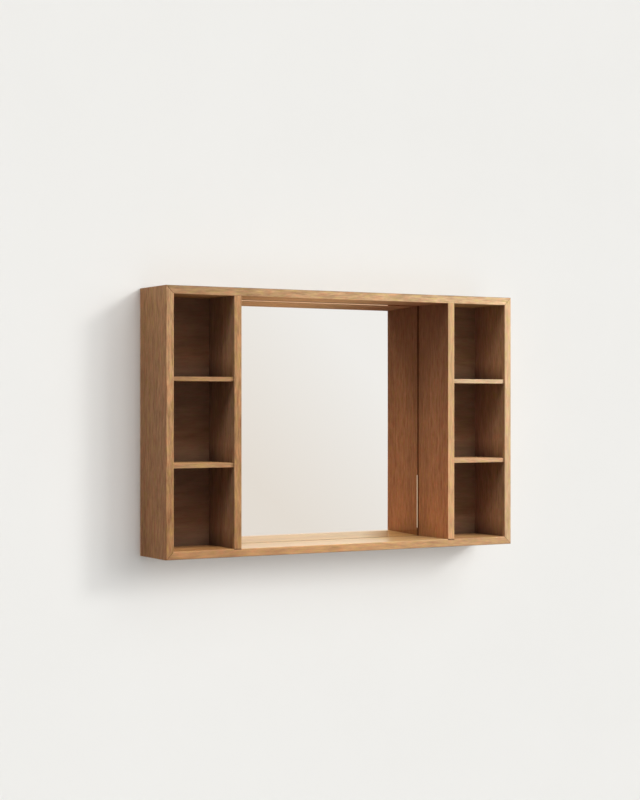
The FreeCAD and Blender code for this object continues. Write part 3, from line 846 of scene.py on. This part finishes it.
# broad soft lights, some of them flagged off the cabinet or off the wall
daylight = (0.999, 1.000, 1.003)
warmLight = (1.05, 0.97, 0.91)
coolLight = (0.94, 1.00, 1.10)
onWall = {"spread": 30.0, "tint": daylight, "on": "wall"}
sharpOnWall = {**onWall, "spread": 12.0}
lamps = {  # degrees to the right and up
    "wall_front": {**onWall, "right": 8.0, "up": 12.0, "strength": 0.665},
    "wall_right": {**onWall, "right": 42.0, "up": 12.0, "strength": 0.387},
    "wall_high": {**onWall, "right": 30.0, "up": 40.0, "strength": 0.437},
    "wall_front_left": {**onWall, "right": -15.0, "up": 15.0, "strength": 0.139},
    "wall_low": {**onWall, "right": 0.0, "up": -25.0, "strength": 0.208},
    "wall_square": {**sharpOnWall, "right": 0.0, "up": 0.0, "strength": 0.605},
    "wall_slant_near": {**sharpOnWall, "right": 30.0, "up": 16.0, "strength": 0.258},
    "wall_slant": {**sharpOnWall, "right": 38.0, "up": 20.0, "strength": 0.06},
    "wall_slant_far": {**sharpOnWall, "right": 45.0, "up": 23.0, "strength": 0.685},
    "overhead": {
        "right": 0.0, "up": 60.0, "spread": 30.0, "strength": 4.00, "tint": warmLight, "on": "lower",
    },
    "top_above": {
        "right": 0.0, "up": 90.0, "spread": 30.0, "strength": 0.60, "tint": (0.88, 1.00, 1.18), "on": "top",
    },
    "top_front": {
        "right": 0.0, "up": 0.0, "spread": 30.0, "strength": 1.92, "tint": warmLight, "on": "top",
    },
}
panels = {
    "near_right": {
        "place": (1.3, -1.3, 0.7), "aim": (0.1, -0.15, -0.2), "size": 0.5, "beam": 180.0,
        "power": 25.5, "tint": coolLight, "on": "lower",
    },
    "near_right_low": {
        "place": (1.4, -1.3, 0.1), "aim": (0.1, -0.15, -0.2), "size": 0.5, "beam": 180.0,
        "power": 11.0, "tint": coolLight, "on": "lower",
    },
    "far_left": {
        "place": (-1.9, -0.8, 1.9), "aim": (0.0, -0.12, -0.25), "size": 0.5, "beam": 180.0,
        "power": 8.5, "tint": (1.08, 0.86, 0.70), "on": "lower",
    },
    "right_of_top": {
        "place": (1.4, -1.3, 0.05), "aim": (0.1, -0.15, 0.07), "size": 0.2, "beam": 180.0,
        "power": 36.0, "tint": (0.91, 1.00, 1.12), "on": "top",
    },
    "over_sill": {
        "place": (-0.22, -0.55, 0.55), "aim": (-0.15, -0.08, -0.55), "size": 0.35, "beam": 38.0,
        "power": 0.56, "tint": daylight, "on": "sill",
    },
    "under_top": {
        "place": (-0.14, -0.35, -0.9), "aim": (-0.10, -0.08, 0.06), "size": 0.3, "beam": 40.0,
        "power": 0.35, "tint": (1.10, 0.90, 0.84), "on": "top",
    },
    "bay_left": {
        "place": (-0.1, -0.5, -0.6), "aim": (0.3, -0.08, -0.5), "size": 0.25, "beam": 180.0,
        "power": 1.1, "tint": (1.10, 0.50, 0.34), "on": "divider",
    },
}
cabinet = [*nodes.values(), *screwPieces]
receivers = {
    "wall": [wall, floor],
    "top": [nodes["top_panel"]],
    "sill": [nodes["bottom_panel"]],
    "divider": [nodes["right_divider"]],
    "lower": [piece for piece in cabinet if piece is not nodes["top_panel"]],
}
receiverGroups = {}
for target, pieces in receivers.items():
    receiverGroups[target] = bpy.data.collections.new("lit_" + target)
    for piece in pieces:
        receiverGroups[target].objects.link(piece)


def towards(right, up):
    azimuth, height = math.radians(right), math.radians(up)
    outward = math.cos(height)
    return Vector((math.sin(azimuth) * outward, -math.cos(azimuth) * outward, math.sin(height)))


def hang(name, data, look, heading):
    lamp = bpy.data.objects.new(name, data)
    lamp.rotation_euler = heading.to_track_quat("-Z", "Y").to_euler()
    lamp.visible_camera = False
    lamp.visible_glossy = False  # polished faces see the pale room instead
    lamp.light_linking.receiver_collection = receiverGroups[look["on"]]
    scene.collection.objects.link(lamp)
    return lamp


def addSun(name, look):
    data = bpy.data.lights.new(name, "SUN")
    data.energy = look["strength"]
    data.color = look["tint"]
    data.angle = math.radians(look["spread"])
    hang(name, data, look, -towards(look["right"], look["up"]))


def addPanel(name, look):
    data = bpy.data.lights.new(name, "AREA")
    data.energy = look["power"]
    data.size = look["size"]
    data.color = look["tint"]
    data.spread = math.radians(look["beam"])
    place = Vector(look["place"])
    hang(name, data, look, Vector(look["aim"]) - place).location = place


for name, look in lamps.items():
    addSun(name, look)
for name, look in panels.items():
    addPanel(name, look)


# the room around, as a faint fill and as what the camera and polished faces see
surround = {
    "sky": (0.98, 0.97, 1.00),
    "fill": (0.09, 0.9),  # before the wall and behind it
    "wallEdge": (-0.05, 0.05),
    "backdrop": ((0.800, 0.742, 0.672), (0.895, 0.878, 0.848)),
    "slope": (0.36, 0.59),
    "leftSpan": (-0.35, 0.0),
    "leftTone": 0.10,  # polished faces find the room darker on the left
}


def addSurround(look):
    world = bpy.data.worlds.new("surround")
    world.use_nodes = True
    scene.world = world
    tree = world.node_tree
    tree.nodes.clear()
    heading = separate(tree, addNode(tree, "ShaderNodeTexCoord").outputs["Generated"])
    path = addNode(tree, "ShaderNodeLightPath").outputs
    mirrored = mathNode(tree, "MAXIMUM", path["Is Glossy Ray"], path["Is Transmission Ray"])
    seen = mathNode(tree, "MAXIMUM", path["Is Camera Ray"], mirrored)
    slope = spread(tree, mathNode(tree, "ADD", heading["X"], heading["Z"]), *look["slope"])
    sideTone = spread(tree, heading["X"], *look["leftSpan"], look["leftTone"], 1.0)
    even = addNode(tree, "ShaderNodeBackground", {
        "Color": look["sky"],
        "Strength": spread(tree, heading["Y"], *look["wallEdge"], *look["fill"]),
    })
    backdrop = addNode(tree, "ShaderNodeBackground", {
        "Color": ramp(tree, slope, (0.0, 1.0), look["backdrop"]),
        "Strength": mathNode(tree, "MAXIMUM", sideTone, rest(tree, path["Is Glossy Ray"])),
    })
    sources = {0: seen, 1: even.outputs["Background"], 2: backdrop.outputs["Background"]}
    mixed = addNode(tree, "ShaderNodeMixShader", sources)
    addNode(tree, "ShaderNodeOutputWorld", {"Surface": mixed.outputs["Shader"]})


addSurround(surround)
scene.view_settings.view_transform = "Standard"
print("lights set")
